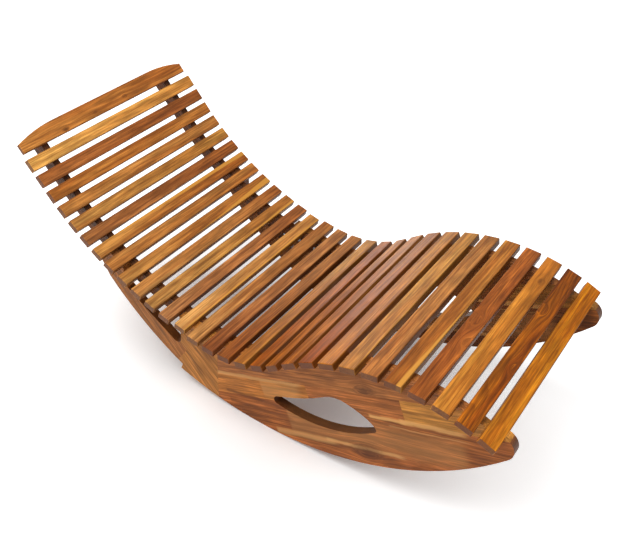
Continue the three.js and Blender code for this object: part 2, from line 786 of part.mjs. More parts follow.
function railFittings(side) {
  const group = new THREE.Group();
  const word = side > 0 ? 'left' : 'right';
  boltPlaces().forEach(([x, z], i) => {
    const pair = [boltMesh(`${word}_rail_bolt_${i + 1}`), insertMesh(`${word}_insert_nut_${i + 1}`)];
    for (const mesh of pair) {
      mesh.position.set(x, side * RAIL_INNER_Y, z);
      mesh.rotation.z = side > 0 ? 0 : Math.PI;
      group.add(mesh);
    }
  });
  return group;
}

// Assembly

function buildChaise() {
  const chaise = new THREE.Group();
  slats.forEach((slat) => chaise.add(slatMesh(slat)));
  for (const side of [1, -1]) {
    chaise.add(sideFrame(side), backRail(side), railFittings(side));
  }
  chaise.add(stretcher());
  const box = new THREE.Box3().setFromObject(chaise, true);
  chaise.position.x = -(box.min.x + box.max.x) / 2;
  chaise.position.z = -box.min.z;
  const product = new THREE.Group();
  product.add(chaise);
  return product;
}

export default buildChaise();
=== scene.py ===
import json
import math
from collections import namedtuple

import bmesh
import bpy
from mathutils import Matrix, Vector


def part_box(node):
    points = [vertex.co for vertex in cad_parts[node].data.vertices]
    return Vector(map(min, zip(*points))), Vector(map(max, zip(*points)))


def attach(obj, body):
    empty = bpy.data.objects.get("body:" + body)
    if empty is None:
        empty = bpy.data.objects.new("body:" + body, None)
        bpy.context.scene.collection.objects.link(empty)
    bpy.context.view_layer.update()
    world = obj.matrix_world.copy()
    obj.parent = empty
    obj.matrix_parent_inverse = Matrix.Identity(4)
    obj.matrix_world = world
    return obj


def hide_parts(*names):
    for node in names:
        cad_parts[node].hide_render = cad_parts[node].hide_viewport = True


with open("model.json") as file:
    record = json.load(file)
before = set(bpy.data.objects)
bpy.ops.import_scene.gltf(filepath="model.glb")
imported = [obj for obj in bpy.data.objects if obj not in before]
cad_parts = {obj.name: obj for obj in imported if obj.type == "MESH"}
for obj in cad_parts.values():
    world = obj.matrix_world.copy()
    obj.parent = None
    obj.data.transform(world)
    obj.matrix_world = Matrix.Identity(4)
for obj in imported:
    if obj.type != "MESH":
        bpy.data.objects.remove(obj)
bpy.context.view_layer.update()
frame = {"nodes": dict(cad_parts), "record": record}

# Camera: the photograph's viewpoint, in metres and degrees
IMAGE_WIDTH_PX = 625
FOCAL_LENGTH_PX = 861.87
SENSOR_WIDTH_MM = 36.0
CAMERA_PLACE = Vector((0.9209, -1.4267, 1.6301))
CAMERA_TURN = math.radians(32.15)
CAMERA_TILT = math.radians(51.79)
CAMERA_ROLL = math.radians(2.955)

# Side frames in side view: the boards' grain directions, and the point where the glue line between
# the middle and rocker boards meets the upright seam
FRONT_GRAIN = math.radians(22.2)
ROCKER_GRAIN = math.radians(20.5)
REAR_GRAIN = math.radians(-41)
ARM_GRAIN = math.radians(-46)
RAIL_GRAIN = -0.6
SEAM_FOOT = Vector((-0.0756, 0, 0.0334))

# Slats as the photograph shows them, in metres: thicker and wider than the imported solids. Each is
# notched where it crosses a rail or a side frame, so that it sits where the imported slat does.
SHOWN_SLATS = range(2, 31)
SHOWN_THICKNESS = 0.017
PACKED_THICKNESS = 0.013
NOTCH_CLEARANCE = 0.0005
EDGE_ROUND = 0.002
BACK_SLATS, BACK_WIDTH, BACK_REACH = range(2, 14), 0.0325, 0.297
SEAT_SLATS, SEAT_WIDTH = range(15, 21), 0.0338
LEG_WIDTH = 0.0405
SLATS_ON_RAILS = range(2, 15)
SLATS_ON_FRAMES = (8, 9, *range(14, 31))
SLAT_LENGTH = 0.6

# Wood colours, as sRGB hex: the light, middle and dark wood of each tone
Tone = namedtuple("Tone", "light middle dark")
TONES = {
    "honey_wood": Tone(0xE6A852, 0xD29244, 0xAC6C2C),
    "gold_wood": Tone(0xD8963E, 0xC07A2E, 0x96561C),
    "amber_wood": Tone(0xC8843C, 0xB26C2C, 0x82461A),
    "russet_wood": Tone(0xB26E36, 0x9A5A28, 0x683618),
    "umber_wood": Tone(0xB06C2A, 0x924E1C, 0x542A0E),
}
RAIL_TONE = Tone(0x84502A, 0x643A1A, 0x351C0C)
SAPWOOD = 0xDC9A40
END_GRAIN = 0x6A4430
KNOT = 0x4A2814
# Dark colour for the arrises of the slat tops and for the painted shade on the slats' long sides
EDGE_AND_SIDE_SHADE = 0x5A3418
# Painted shade on the walls of the hand hole and of the slot
HOLE_WALL_SHADE = 0x4A2A14
ZINC, DULL_ZINC = 0xB4B6B8, 0x8E9194
FLOOR = 0xF4F4F4

# Figure of a slat: how light, how warm and how red it is beside its tone, each at the near and
# at the far end, how strong its streaks are, a band of sapwood along one edge, and its knots. The
# lightness and warmth at the ends are partly the wood's own and partly painted light: a painted fall
# of light from one end to the other, painted sheen where an end is lighter and cooler, and painted
# shade against the lamps' sheen where an end is warmer. A band reaches in from its edge by the given
# metres at either end; edge is -1 at the head side and 1 at the foot side. A knot's place and radius
# are in metres.
Figure = namedtuple("Figure", "shade warmth red streaks band knots",
                    defaults=((1.0, 1.0), (0.0, 0.0), (0.0, 0.0), 0.4, None, ()))
Band = namedtuple("Band", "edge near_reach far_reach")
Knot = namedtuple("Knot", "along across radius darkness")
FIGURES = {
    "head_board": Figure((1.1, 0.95), (-0.2, 0.3), (0, 0.05), streaks=0.3, knots=(
        Knot(-0.155, 0.014, 0.005, 0.9), Knot(0.06, 0.008, 0.004, 0.6), Knot(-0.05, 0.01, 0.003, 0.4))),
    "slat_02": Figure((1.04, 0.98), (-0.3, 0.2), (0, 0.03), streaks=0.2),
    "slat_03": Figure((1.15, 1.04), (0.0, 0.3), (0, 0.03)),
    "slat_04": Figure((1.02, 1.0), (0.1, 0.1)),
    "slat_05": Figure((0.95, 1.14), (-0.7, -0.5)),
    "slat_06": Figure((0.82, 0.92), (-1.4, -0.8), (0.13, 0.02)),
    "slat_07": Figure((1.08, 0.85), (-0.8, 0.9), (0, 0.02)),
    "slat_08": Figure((0.84, 0.68), (-1.2, 0.8), (0.12, 0.12), streaks=0.5, band=Band(-1, 0.002, 0.014)),
    "slat_09": Figure((1.03, 0.97), (-0.9, 0.0)),
    "slat_10": Figure((0.88, 0.66), (-1.5, 0.7), (0.12, 0.13), streaks=0.5, band=Band(1, -0.012, 0.018)),
    "slat_11": Figure((1.15, 0.81), (-1.8, 0.1), (0, 0.1)),
    "slat_12": Figure((0.69, 0.93), (-1.8, -0.8), (0.15, 0.07), streaks=0.5, band=Band(1, 0.0, 0.008)),
    "slat_13": Figure((1.17, 1.18), (-1.5, 0.1)),
    "slat_14": Figure((0.88, 0.76), (-1.0, -0.1), (0.1, 0.08), streaks=0.3, band=Band(1, 0.005, 0.006)),
    "slat_15": Figure((1.01, 0.9), (-1.7, -0.5), (0.04, 0.05)),
    "slat_16": Figure((0.9, 1.58), (0.5, -1.5), (0.07, -0.06)),
    "slat_17": Figure((0.63, 0.78), (0.7, 0.0), (0.08, 0.03)),
    "slat_18": Figure((0.63, 0.69), (0.6, -0.1), (0.02, 0)),
    "slat_19": Figure((0.7, 0.71), (1.8, 0.9), (0.03, 0.07)),
    "slat_20": Figure((0.73, 0.8), (1.3, 0.0), (0.05, 0)),
    "slat_21": Figure((0.71, 1.02), (1.1, 0.0), (0.04, 0)),
    "slat_22": Figure((0.67, 0.71), (2.05, 0.4), (0.09, 0)),
    "slat_23": Figure((0.53, 0.66), (1.95, 0.7), (0.06, 0.04), streaks=0.3),
    "slat_24": Figure((0.78, 0.87), (0.0, -0.9), (0.03, 0)),
    "slat_25": Figure((0.9, 0.92), (-0.1, -1.0), (0.05, 0.02)),
    "slat_26": Figure((0.59, 0.88), (0.8, 0.0), (0.11, 0.06), streaks=0.5, band=Band(1, 0.014, -0.01)),
    "slat_27": Figure((1.28, 1.4), (0.9, 1.1), streaks=0.8, knots=(
        Knot(-0.02, -0.006, 0.014, 0.25), Knot(-0.1, 0.012, 0.01, 0.1))),
    "slat_28": Figure((1.04, 1.1), (0.6, 0.7), (0.02, 0), knots=(Knot(0.2, 0.004, 0.006, 0.5),)),
    "slat_29": Figure((1.55, 0.8), (1.7, 2.2), (-0.08, 0), streaks=0.9, knots=(
        Knot(0.12, -0.012, 0.012, 0.1), Knot(-0.09, 0.014, 0.011, 0.1))),
    "slat_30": Figure((1.06, 1.1), (1.55, 2.2), (-0.03, -0.07), streaks=0.8),
}
# What one unit of warmth takes from the green and from the blue
GREEN_LOSS = 0.14
BLUE_LOSS = 0.43

# Mix node: its colour sockets, which share their names with those of its other kinds
MIX_A, MIX_B, MIX_RESULT = 6, 7, 2


def linear(hex_colour, shade=1.0):
    """The linear RGBA of an sRGB hex colour, made lighter or darker by shade."""
    channels = [((hex_colour >> shift) & 255) / 255 for shift in (16, 8, 0)]
    return [shade * (c / 12.92 if c <= 0.04045 else ((c + 0.055) / 1.055) ** 2.4) for c in channels] + [1]


class Graph:
    """Short ways to add and join shader nodes in one node tree."""

    def __init__(self, tree):
        self.tree = tree

    def add(self, kind, **settings):
        node = self.tree.nodes.new(kind)
        for name, value in settings.items():
            setattr(node, name, value)
        return node

    def put(self, socket, value):
        if isinstance(value, bpy.types.NodeSocket):
            self.tree.links.new(value, socket)
        else:
            socket.default_value = value

    def math(self, operation, a, b=0.0, clamp=False):
        node = self.add("ShaderNodeMath", operation=operation, use_clamp=clamp)
        self.put(node.inputs[0], a)
        self.put(node.inputs[1], b)
        return node.outputs[0]

    def plus(self, a, b):
        return self.math("ADD", a, b)

    def minus(self, a, b):
        return self.math("SUBTRACT", a, b)

    def times(self, a, b):
        return self.math("MULTIPLY", a, b)

    def absolute(self, a):
        return self.math("ABSOLUTE", a)

    def diagonal(self, a, b):
        return self.math("SQRT", self.plus(self.times(a, a), self.times(b, b)))

    def vector(self, operation, a, b):
        node = self.add("ShaderNodeVectorMath", operation=operation)
        self.put(node.inputs[0], a)
        self.put(node.inputs[1], b)
        return node.outputs["Value" if operation == "DOT_PRODUCT" else "Vector"]

    def mix(self, factor, a, b):
        node = self.add("ShaderNodeMix", data_type="RGBA")
        self.put(node.inputs["Factor"], factor)
        self.put(node.inputs[MIX_A], a)
        self.put(node.inputs[MIX_B], b)
        return node.outputs[MIX_RESULT]

    def step(self, value, low, high, to_low=0.0, to_high=1.0):
        """A smooth change from to_low, where the value is low, to to_high, where it is high."""
        node = self.add("ShaderNodeMapRange", interpolation_type="SMOOTHSTEP")
        self.put(node.inputs["Value"], value)
        self.put(node.inputs["From Min"], low)
        self.put(node.inputs["From Max"], high)
        self.put(node.inputs["To Min"], to_low)
        self.put(node.inputs["To Max"], to_high)
        return node.outputs["Result"]

    def noise(self, place, scale, detail, roughness):
        node = self.add("ShaderNodeTexNoise")
        self.put(node.inputs["Vector"], self.vector("MULTIPLY", place, scale))
        self.put(node.inputs["Scale"], 1.0)
        self.put(node.inputs["Detail"], detail)
        self.put(node.inputs["Roughness"], roughness)
        return node.outputs["Fac"]

    def split(self, vector):
        node = self.add("ShaderNodeSeparateXYZ")
        self.put(node.inputs[0], vector)
        return node.outputs

    def own(self, kind):
        """The piece's own coordinates of one kind: Object, in metres, or Normal."""
        return self.add("ShaderNodeTexCoord").outputs[kind]


# Oiled hardwood

# A layer is noise drawn out along the grain: its changes per metre across and along the grain, its
# detail and roughness, and the ramp (low, high, value at low, value at high) that shapes it.
Layer = namedtuple("Layer", "across along detail roughness ramp", defaults=((),))
WANDER = Layer(16, 2.6, 2, 0.45)
BROAD = Layer(40, 3.4, 2, 0.5, (0.36, 0.64))
BANDS = Layer(110, 2.4, 2, 0.55, (0.42, 0.66))
STREAKS = Layer(330, 5.5, 3, 0.6, (0.4, 0.68))
VEINS = Layer(170, 3.2, 3, 0.6, (0.56, 0.68))
PATCHES = Layer(52, 11, 2, 0.5, (0.36, 0.64, 0.82, 1.15))
PENCIL = Layer(290, 13, 3, 0.6, (0.36, 0.64, 0.75, 1.2))
FIBRES = Layer(1400, 22, 2, 0.6, (0.2, 0.8, 0.94, 1.22))
PORES = Layer(2300, 90, 1, 0.5, (0.64, 0.74))

# Growth rings: how many there are in a metre, and how many the noise moves them by. The pith line lies
# PITH_DEPTH under the board's top and up to PITH_ASIDE to a side, in metres; PITH_LEAN is a tangent.
RINGS_PER_METRE = 150
RING_WANDER = 7
PITH_DEPTH = 0.022
PITH_ASIDE = 0.03
PITH_LEAN = 0.05
LATE_WOOD_RISE = (0.25, 0.9)
LATE_WOOD_FALL = (0.93, 1.0, 1, 0)

BAND_STRENGTH = 0.6
STREAK_STRENGTH = 0.45
LATE_WOOD_SHARE = 0.5
PORE_STRENGTH = 0.3
LEAST_ROUGHNESS = 0.34
FIBRE_ROUGHNESS = 0.16
LATE_WOOD_ROUGHNESS = 0.05
FIBRE_HEIGHT = 0.4
PORE_HEIGHT = 0.6
BUMP_STRENGTH = 0.25
BUMP_DISTANCE = 0.0004
SPECULAR_LEVEL = 0.15
END_GRAIN_RAMP = (0.72, 0.97, 0, 0.8)
SEED_STEP = (1.37, 2.11, 0.83)


def grain_noise(g, place, layer):
    return g.noise(place, (layer.across, layer.along, layer.across), layer.detail, layer.roughness)


def grain_layer(g, place, layer):
    return g.step(grain_noise(g, place, layer), *layer.ramp)


def add_late_wood(g, board_space, seed, wander):
    """The dark part of each growth ring round a pith line that leans a little along the board."""
    across, along, depth = g.split(board_space)
    seed_x, seed_y, seed_z = g.split(seed)
    lean = g.times(along, g.times(g.math("SINE", seed_x), PITH_LEAN))
    aside = g.times(g.math("SINE", seed_y), PITH_ASIDE)
    radius = g.diagonal(g.plus(g.minus(across, aside), lean), g.plus(depth, PITH_DEPTH))
    ring = g.plus(g.times(radius, RINGS_PER_METRE), g.times(wander, RING_WANDER))
    growth = g.math("FRACT", ring)
    return g.times(g.step(growth, *LATE_WOOD_RISE), g.step(growth, *LATE_WOOD_FALL))


def wood_group():
    """The wood in board space: X across the grain, Y along it and Z through the board, in metres."""
    tree = bpy.data.node_groups.new("oiled_hardwood", "ShaderNodeTree")
    face = tree.interface
    for name, kind in (("Place", "Vector"), ("Seed", "Vector"), ("Light", "Color"), ("Middle", "Color"),
                       ("Dark", "Color"), ("Streaks", "Float")):
        face.new_socket(name, in_out="INPUT", socket_type="NodeSocket" + kind)
    for name, kind in (("Color", "Color"), ("Roughness", "Float"), ("Height", "Float")):
        face.new_socket(name, in_out="OUTPUT", socket_type="NodeSocket" + kind)
    g = Graph(tree)
    given = g.add("NodeGroupInput").outputs
    place = g.vector("ADD", given["Place"], given["Seed"])
    late_wood = add_late_wood(g, given["Place"], given["Seed"], grain_noise(g, place, WANDER))
    fibres = grain_noise(g, place, FIBRES)
    pores = grain_layer(g, place, PORES)

    tone = g.mix(grain_layer(g, place, BROAD), given["Middle"], given["Light"])
    for mask, strength in (
        (grain_layer(g, place, BANDS), BAND_STRENGTH),
        (grain_layer(g, place, STREAKS), STREAK_STRENGTH),
        (late_wood, g.times(given["Streaks"], LATE_WOOD_SHARE)),
        (grain_layer(g, place, VEINS), given["Streaks"]),
        (pores, PORE_STRENGTH),
    ):
        tone = g.mix(g.times(mask, strength), tone, given["Dark"])
    bright = g.add("ShaderNodeHueSaturation")
    g.put(bright.inputs["Color"], tone)
    broken = g.times(grain_layer(g, place, PATCHES), grain_layer(g, place, PENCIL))
    g.put(bright.inputs["Value"], g.times(broken, g.step(fibres, *FIBRES.ramp)))

    rough = g.plus(g.times(fibres, FIBRE_ROUGHNESS), g.times(late_wood, LATE_WOOD_ROUGHNESS))
    out = g.add("NodeGroupOutput").inputs
    g.put(out["Color"], bright.outputs[0])
    g.put(out["Roughness"], g.plus(rough, LEAST_ROUGHNESS))
    g.put(out["Height"], g.minus(g.times(fibres, FIBRE_HEIGHT), g.times(pores, PORE_HEIGHT)))
    return tree


OILED_HARDWOOD = wood_group()


def new_material(name):
    material = bpy.data.materials.new(name)
    material.use_nodes = True
    material.node_tree.nodes.clear()
    return material, Graph(material.node_tree)


def board_place(g, origin, turn):
    """Board space for a board whose middle is at origin and whose axes are the columns of turn."""
    mapping = g.add("ShaderNodeMapping", vector_type="TEXTURE")
    g.put(mapping.inputs["Vector"], g.own("Object"))
    g.put(mapping.inputs["Location"], origin)
    g.put(mapping.inputs["Rotation"], turn.to_euler())
    return mapping.outputs[0]


def wood(g, place, tone, number, streaks, shade=1.0):
    """Colour, roughness and height of the wood; each number gives a board a grain of its own."""
    group = g.add("ShaderNodeGroup", node_tree=OILED_HARDWOOD)
    g.put(group.inputs["Place"], place)
    g.put(group.inputs["Seed"], [number * step for step in SEED_STEP])
    g.put(group.inputs["Light"], linear(tone.light, shade))
    g.put(group.inputs["Middle"], linear(tone.middle, shade))
    g.put(group.inputs["Dark"], linear(tone.dark, shade))
    g.put(group.inputs["Streaks"], streaks)
    return group.outputs


def add_facing(g, colour, axis, ramp, other):
    """Another colour where the surface faces along an axis, either way, as the ramp says."""
    facing = g.absolute(g.vector("DOT_PRODUCT", g.own("Normal"), axis))
    return g.mix(g.step(facing, *ramp), colour, linear(other))


def add_end_grain(g, colour, grain_axis):
    """Darker, duller wood where the surface cuts across the grain."""
    return add_facing(g, colour, grain_axis, END_GRAIN_RAMP, END_GRAIN)


def finish_wood(g, colour, roughness, height):
    """The oiled, satin surface."""
    bump = g.add("ShaderNodeBump")
    g.put(bump.inputs["Strength"], BUMP_STRENGTH)
    g.put(bump.inputs["Distance"], BUMP_DISTANCE)
    g.put(bump.inputs["Height"], height)
    shader = g.add("ShaderNodeBsdfPrincipled")
    g.put(shader.inputs["Base Color"], colour)
    g.put(shader.inputs["Roughness"], roughness)
    g.put(shader.inputs["Specular IOR Level"], SPECULAR_LEVEL)
    g.put(shader.inputs["Normal"], bump.outputs[0])
    g.put(g.add("ShaderNodeOutputMaterial").inputs["Surface"], shader.outputs[0])


def dress(name, material):
    mesh = frame["nodes"][name].data
    mesh.materials.clear()
    mesh.materials.append(material)


# Knots

# A knot is longer along the grain. Its halo and its eye are ramps over the distance from its middle, in
# knot radii, to which noise adds up to KNOT_RAGGED. The grain bends least where that distance is great,
# and no more than at a distance whose square is NEAREST_BEND.
KNOT_STRETCH = 1.9
KNOT_HALO = (1.0, 2.1, 0.7, 0)
KNOT_EYE = (0.75, 1.2, 0.9, 0)
KNOT_NOISE = Layer(260, 130, 3, 0.6)
KNOT_RAGGED = 0.9
NEAREST_BEND = 0.5


def knot_offsets(g, place, knot):
    """Distances of a place from a knot's middle, across and along the grain, in knot radii."""
    x, y, z = g.split(place)
    return (g.math("DIVIDE", g.minus(x, knot.across), knot.radius),
            g.math("DIVIDE", g.minus(y, knot.along), knot.radius * KNOT_STRETCH))


def bend_grain(g, place, knots):
    """Board space in which the grain flows round the knots."""
    for knot in knots:
        dx, dy = knot_offsets(g, place, knot)
        square = g.math("MAXIMUM", g.plus(g.times(dx, dx), g.times(dy, dy)), NEAREST_BEND)
        shift = g.add("ShaderNodeCombineXYZ")
        g.put(shift.inputs["X"], g.math("DIVIDE", g.times(dx, -knot.radius), square))
        place = g.vector("ADD", place, shift.outputs[0])
    return place


def add_knot(g, colour, place, knot):
    """A knot: a dark eye with a halo that is drawn out along the grain."""
    reach = g.diagonal(*knot_offsets(g, place, knot))
    ragged = g.plus(reach, g.times(grain_noise(g, place, KNOT_NOISE), KNOT_RAGGED))
    dark = g.math("MAXIMUM", g.step(ragged, *KNOT_HALO), g.step(ragged, *KNOT_EYE))
    return g.mix(g.times(dark, knot.darkness), colour, linear(KNOT))


# Slats

# The waver of a sapwood band's inner side, and the ramp over that side, in metres
BAND_NOISE = Layer(60, 5, 2, 0.5)
BAND_WAVER = 0.012
BAND_RAMP = (-0.0015, 0.003, 0, 0.8)
# Darker arrises: where they start and are full, in from a slat's edge and down from its top, in metres
ARRIS_START, ARRIS_FULL, ARRIS_STRENGTH = 0.0026, 0.0006, 0.5
ARRIS_DOWN = (-0.0012, -0.0003)
# Painted shade on a slat's long sides: a ramp over how much the surface faces across the slat
SIDE_SHADE_RAMP = (0.75, 0.97, 0, 0.55)
EDGE_SEGMENTS = 3


def largest_face_up(mesh):
    return max((p for p in mesh.polygons if p.normal.z > 0), key=lambda p: p.area)


def slat_axes(name):
    """Middle of a packed slat's top face, its axes (across towards the feet, along +Y and out), its width."""
    mesh = frame["nodes"][name].data
    out = largest_face_up(mesh).normal.copy()
    across = Vector((out.z, 0, -out.x)).normalized()
    top = max(v.co.dot(out) for v in mesh.vertices)
    reaches = [v.co.dot(across) for v in mesh.vertices]
    middle = (min(reaches) + max(reaches)) / 2
    turn = Matrix((across, Vector((0, 1, 0)), out)).transposed()
    return across * middle + out * top, turn, max(reaches) - min(reaches)


def length_share(g, place):
    """Where a place is between a slat's near end, at 0, and its far end, at 1."""
    return g.plus(g.times(g.split(place)[1], 1 / SLAT_LENGTH), 0.5)


def add_tint_and_painted_light(g, colour, place, figure):
    """The change of shade, warmth and redness from a slat's near end to its far end, partly the wood's own
    and partly painted light and painted sheen.
    """
    ends = [(shade, shade * (1 - GREEN_LOSS * warmth - red), shade * (1 - BLUE_LOSS * warmth), 1)
            for shade, warmth, red in zip(figure.shade, figure.warmth, figure.red)]
    return g.vector("MULTIPLY", colour, g.mix(length_share(g, place), *ends))


def add_band(g, colour, place, band, width):
    """A band of pale sapwood along one edge of a slat."""
    x, y, z = g.split(place)
    gain = g.times(length_share(g, place), band.far_reach - band.near_reach)
    reach = g.plus(gain, band.near_reach)
    waver = g.times(g.minus(grain_noise(g, place, BAND_NOISE), 0.5), BAND_WAVER)
    from_edge = g.minus(width / 2, g.times(x, band.edge))
    inside = g.plus(g.minus(reach, from_edge), waver)
    return g.mix(g.step(inside, *BAND_RAMP), colour, linear(SAPWOOD))


def add_dark_arrises(g, colour, place, width):
    """Darker arrises along the two long edges of a slat's top face."""
    x, y, z = g.split(place)
    edge = g.step(g.absolute(x), width / 2 - ARRIS_START, width / 2 - ARRIS_FULL, 0, ARRIS_STRENGTH)
    return g.mix(g.times(edge, g.step(z, *ARRIS_DOWN)), colour, linear(EDGE_AND_SIDE_SHADE))


def paint_side_shade(g, colour, across):
    """Painted shade: darker colour on the two long sides of a slat, which face the gaps between slats."""
    return add_facing(g, colour, across, SIDE_SHADE_RAMP, EDGE_AND_SIDE_SHADE)


def slat_material(name, number, slot, origin, turn, width):
    material, g = new_material(name + "_wood")
    place = board_place(g, origin, turn)
    figure = FIGURES[name]
    bent = bend_grain(g, place, figure.knots)
    colour, roughness, height = wood(g, bent, TONES[slot], number, figure.streaks)
    colour = add_tint_and_painted_light(g, colour, place, figure)
    if figure.band:
        colour = add_band(g, colour, place, figure.band, width)
    for knot in figure.knots:
        colour = add_knot(g, colour, place, knot)
    colour = add_dark_arrises(g, colour, place, width)
    # Painted shade on the slat's long sides, which face the gaps
    colour = paint_side_shade(g, colour, turn.col[0])
    colour = add_end_grain(g, colour, (0, 1, 0))
    finish_wood(g, colour, roughness, height)
    return material


def notch_reaches(number):
    """Where the notch on one side of a slat starts and ends, in metres from the middle of its length."""
    inner, outer = [], []
    for carried, node in ((SLATS_ON_RAILS, "left_back_rail"), (SLATS_ON_FRAMES, "left_middle_board")):
        if number in carried:
            low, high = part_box(node)
            inner.append(low[1])
            outer.append(high[1])
    return min(inner) - NOTCH_CLEARANCE, max(outer) + NOTCH_CLEARANCE


def slat_profile(number, reach):
    """Outline of a slat seen from its edge, as (along, depth) with the top face at depth 0."""
    inner, outer = notch_reaches(number)
    right = [(reach, 0), (reach, -SHOWN_THICKNESS), (outer, -SHOWN_THICKNESS), (outer, -PACKED_THICKNESS),
             (inner, -PACKED_THICKNESS), (inner, -SHOWN_THICKNESS)]
    return right + [(-along, depth) for along, depth in reversed(right)]


def shown_width(number):
    if number in SEAT_SLATS:
        return SEAT_WIDTH
    return BACK_WIDTH if number in SLATS_ON_RAILS else LEG_WIDTH


def slat_shape(number, width, reach):
    """A slat with rounded ends and top edges, in board space."""
    shape = bmesh.new()
    side = shape.faces.new([shape.verts.new((-width / 2, *point)) for point in slat_profile(number, reach)])
    for swept in bmesh.ops.extrude_face_region(shape, geom=[side])["geom"]:
        if isinstance(swept, bmesh.types.BMVert):
            swept.co.x += width
    bmesh.ops.recalc_face_normals(shape, faces=shape.faces)
    rounded = [e for e in shape.edges if all(v.co.z > -EDGE_ROUND for v in e.verts)
               or all(abs(v.co.y) > reach - EDGE_ROUND for v in e.verts)]
    bmesh.ops.bevel(shape, geom=rounded, offset=EDGE_ROUND, segments=EDGE_SEGMENTS, profile=0.5,
                    affect="EDGES")
    return shape


def build_slat(name, number, slot):
    """A shown slat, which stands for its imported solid."""
    origin, turn = slat_axes(name)[:2]
    packed_reach = max(v.co.y for v in frame["nodes"][name].data.vertices)
    width = shown_width(number)
    shape = slat_shape(number, width, BACK_REACH if number in BACK_SLATS else packed_reach)
    shape.transform(Matrix.Translation(origin) @ turn.to_4x4())
    mesh = bpy.data.meshes.new(name + "_shown")
    shape.to_mesh(mesh)
    shape.free()
    mesh.materials.append(slat_material(name, number, slot, origin, turn, width))
    piece = bpy.data.objects.new(name + "_shown", mesh)
    bpy.context.scene.collection.objects.link(piece)
    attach(piece, "root")
    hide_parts(name)


def build_slats():
    """The head board, slat 1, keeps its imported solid; the other slats are shown ones."""
    slots = {part["node"]: part["material_slot"] for part in frame["record"]["subparts"]}
    dress("head_board", slat_material("head_board", 1, slots["head_board"], *slat_axes("head_board")))
    for number in SHOWN_SLATS:
        name = f"slat_{number:02d}"
        build_slat(name, number, slots[name])


# Side frames: each board is drawn as its staves, which meet end to end at butt joints

# A stave starts at a distance along the board's grain from SEAM_FOOT, in metres, or at the board's
# own end; lean slants the joint, as the tangent of its angle. A line is a light or dark streak
# between two (x, z) places in side view, in metres: a streak of the grain, or painted shadow under
# the slat ends.
Stave = namedtuple("Stave", "start lean tone streaks number")
Line = namedtuple("Line", "from_place to_place width colour strength")
Board = namedtuple("Board", "grain staves knots", defaults=((),))
DUSKY = Tone(0xCA7E40, 0xB46E36, 0x764420)
GOLDEN = Tone(0xD8863A, 0xC47832, 0x8C541C)
BROWN = Tone(0xC27238, 0xB06832, 0x7C461C)
PALE = Tone(0xE09844, 0xCE8A3C, 0x966024)
REDDISH = Tone(0xBC6C30, 0xA45A26, 0x683612)
STRAW = Tone(0xC8823C, 0xB87634, 0x82521E)
TAN = Tone(0xB46E34, 0xA2642E, 0x74461A)
BOARDS = {
    "upper_board": Board(
        FRONT_GRAIN,
        (Stave(None, 0, DUSKY, 0.45, 41),),
        (Knot(0.471, -0.079, 0.013, 0.8),),
    ),
    "middle_board": Board(
        FRONT_GRAIN,
        (Stave(None, 0, GOLDEN, 0.2, 42), Stave(0.303, 0, BROWN, 0.4, 43), Stave(0.559, 0, PALE, 0.1, 44)),
    ),
    "rocker_board": Board(
        ROCKER_GRAIN,
        (Stave(None, 0, REDDISH, 0.7, 45),),
        (Knot(0.431, 0.087, 0.019, 0.7),),
    ),
    "rear_seat_board": Board(REAR_GRAIN, (Stave(None, 0, STRAW, 0.25, 46),)),
    "arm_board": Board(ARM_GRAIN, (Stave(None, 0, TAN, 0.35, 47), Stave(-0.1342, -0.269, STRAW, 0.3, 48))),
}
SAP_LINE = 0xD8A060
PALE_LINE = 0xECAE66
# Dark lines: veins of the grain, and painted shadow under the slat ends
VEIN_AND_SHADOW_LINE = 0x603414
LINES = (
    Line((-0.0756, 0.0995), (0.1804, 0.2035), 0.009, SAP_LINE, 0.75),
    Line((0.06, 0.125), (0.182, 0.175), 0.045, SAP_LINE, 0.35),
    Line((0.352, 0.218), (0.458, 0.258), 0.009, PALE_LINE, 0.8),
    Line((0.425, 0.248), (0.585, 0.305), 0.012, PALE_LINE, 0.75),
    Line((0.388, 0.222), (0.618, 0.305), 0.004, VEIN_AND_SHADOW_LINE, 0.4),
    Line((0.403, 0.218), (0.598, 0.289), 0.004, SAP_LINE, 0.35),
    Line((0.43, 0.222), (0.64, 0.3), 0.006, VEIN_AND_SHADOW_LINE, 0.4),
    Line((0.108, 0.012), (0.29, 0.083), 0.016, SAP_LINE, 0.6),
    Line((0.25, 0.072), (0.46, 0.148), 0.009, SAP_LINE, 0.7),
    Line((0.14, 0.075), (0.6, 0.245), 0.075, SAP_LINE, 0.24),
    Line((0.318, 0.078), (0.46, 0.128), 0.01, VEIN_AND_SHADOW_LINE, 0.3),
    Line((0.13, 0.055), (0.29, 0.12), 0.008, VEIN_AND_SHADOW_LINE, 0.35),
    Line((-0.049, 0.055), (0.13, 0.1), 0.01, VEIN_AND_SHADOW_LINE, 0.6),
    Line((-0.037, 0.028), (0.164, 0.075), 0.012, VEIN_AND_SHADOW_LINE, 0.55),
    Line((0.0, 0.012), (0.1, 0.03), 0.012, VEIN_AND_SHADOW_LINE, 0.4),
    Line((-0.204, 0.14), (-0.102, 0.048), 0.0045, VEIN_AND_SHADOW_LINE, 0.6),
    # Painted shadow under the slat ends: this line and the next
    Line((-0.147, 0.142), (-0.083, 0.076), 0.005, VEIN_AND_SHADOW_LINE, 0.4),
    Line((-0.135, 0.165), (-0.08, 0.115), 0.025, VEIN_AND_SHADOW_LINE, 0.4),
)
# A line's waver, the blur at its start and the fade at its end, in metres, and the shares of its
# width within which it is full and beyond which it is gone
LINE_NOISE = Layer(24, 24, 2, 0.5)
LINE_WAVER = 0.008
LINE_BLUR = 0.004
LINE_FADE = 0.03
LINE_FULL, LINE_GONE = 0.2, 0.8
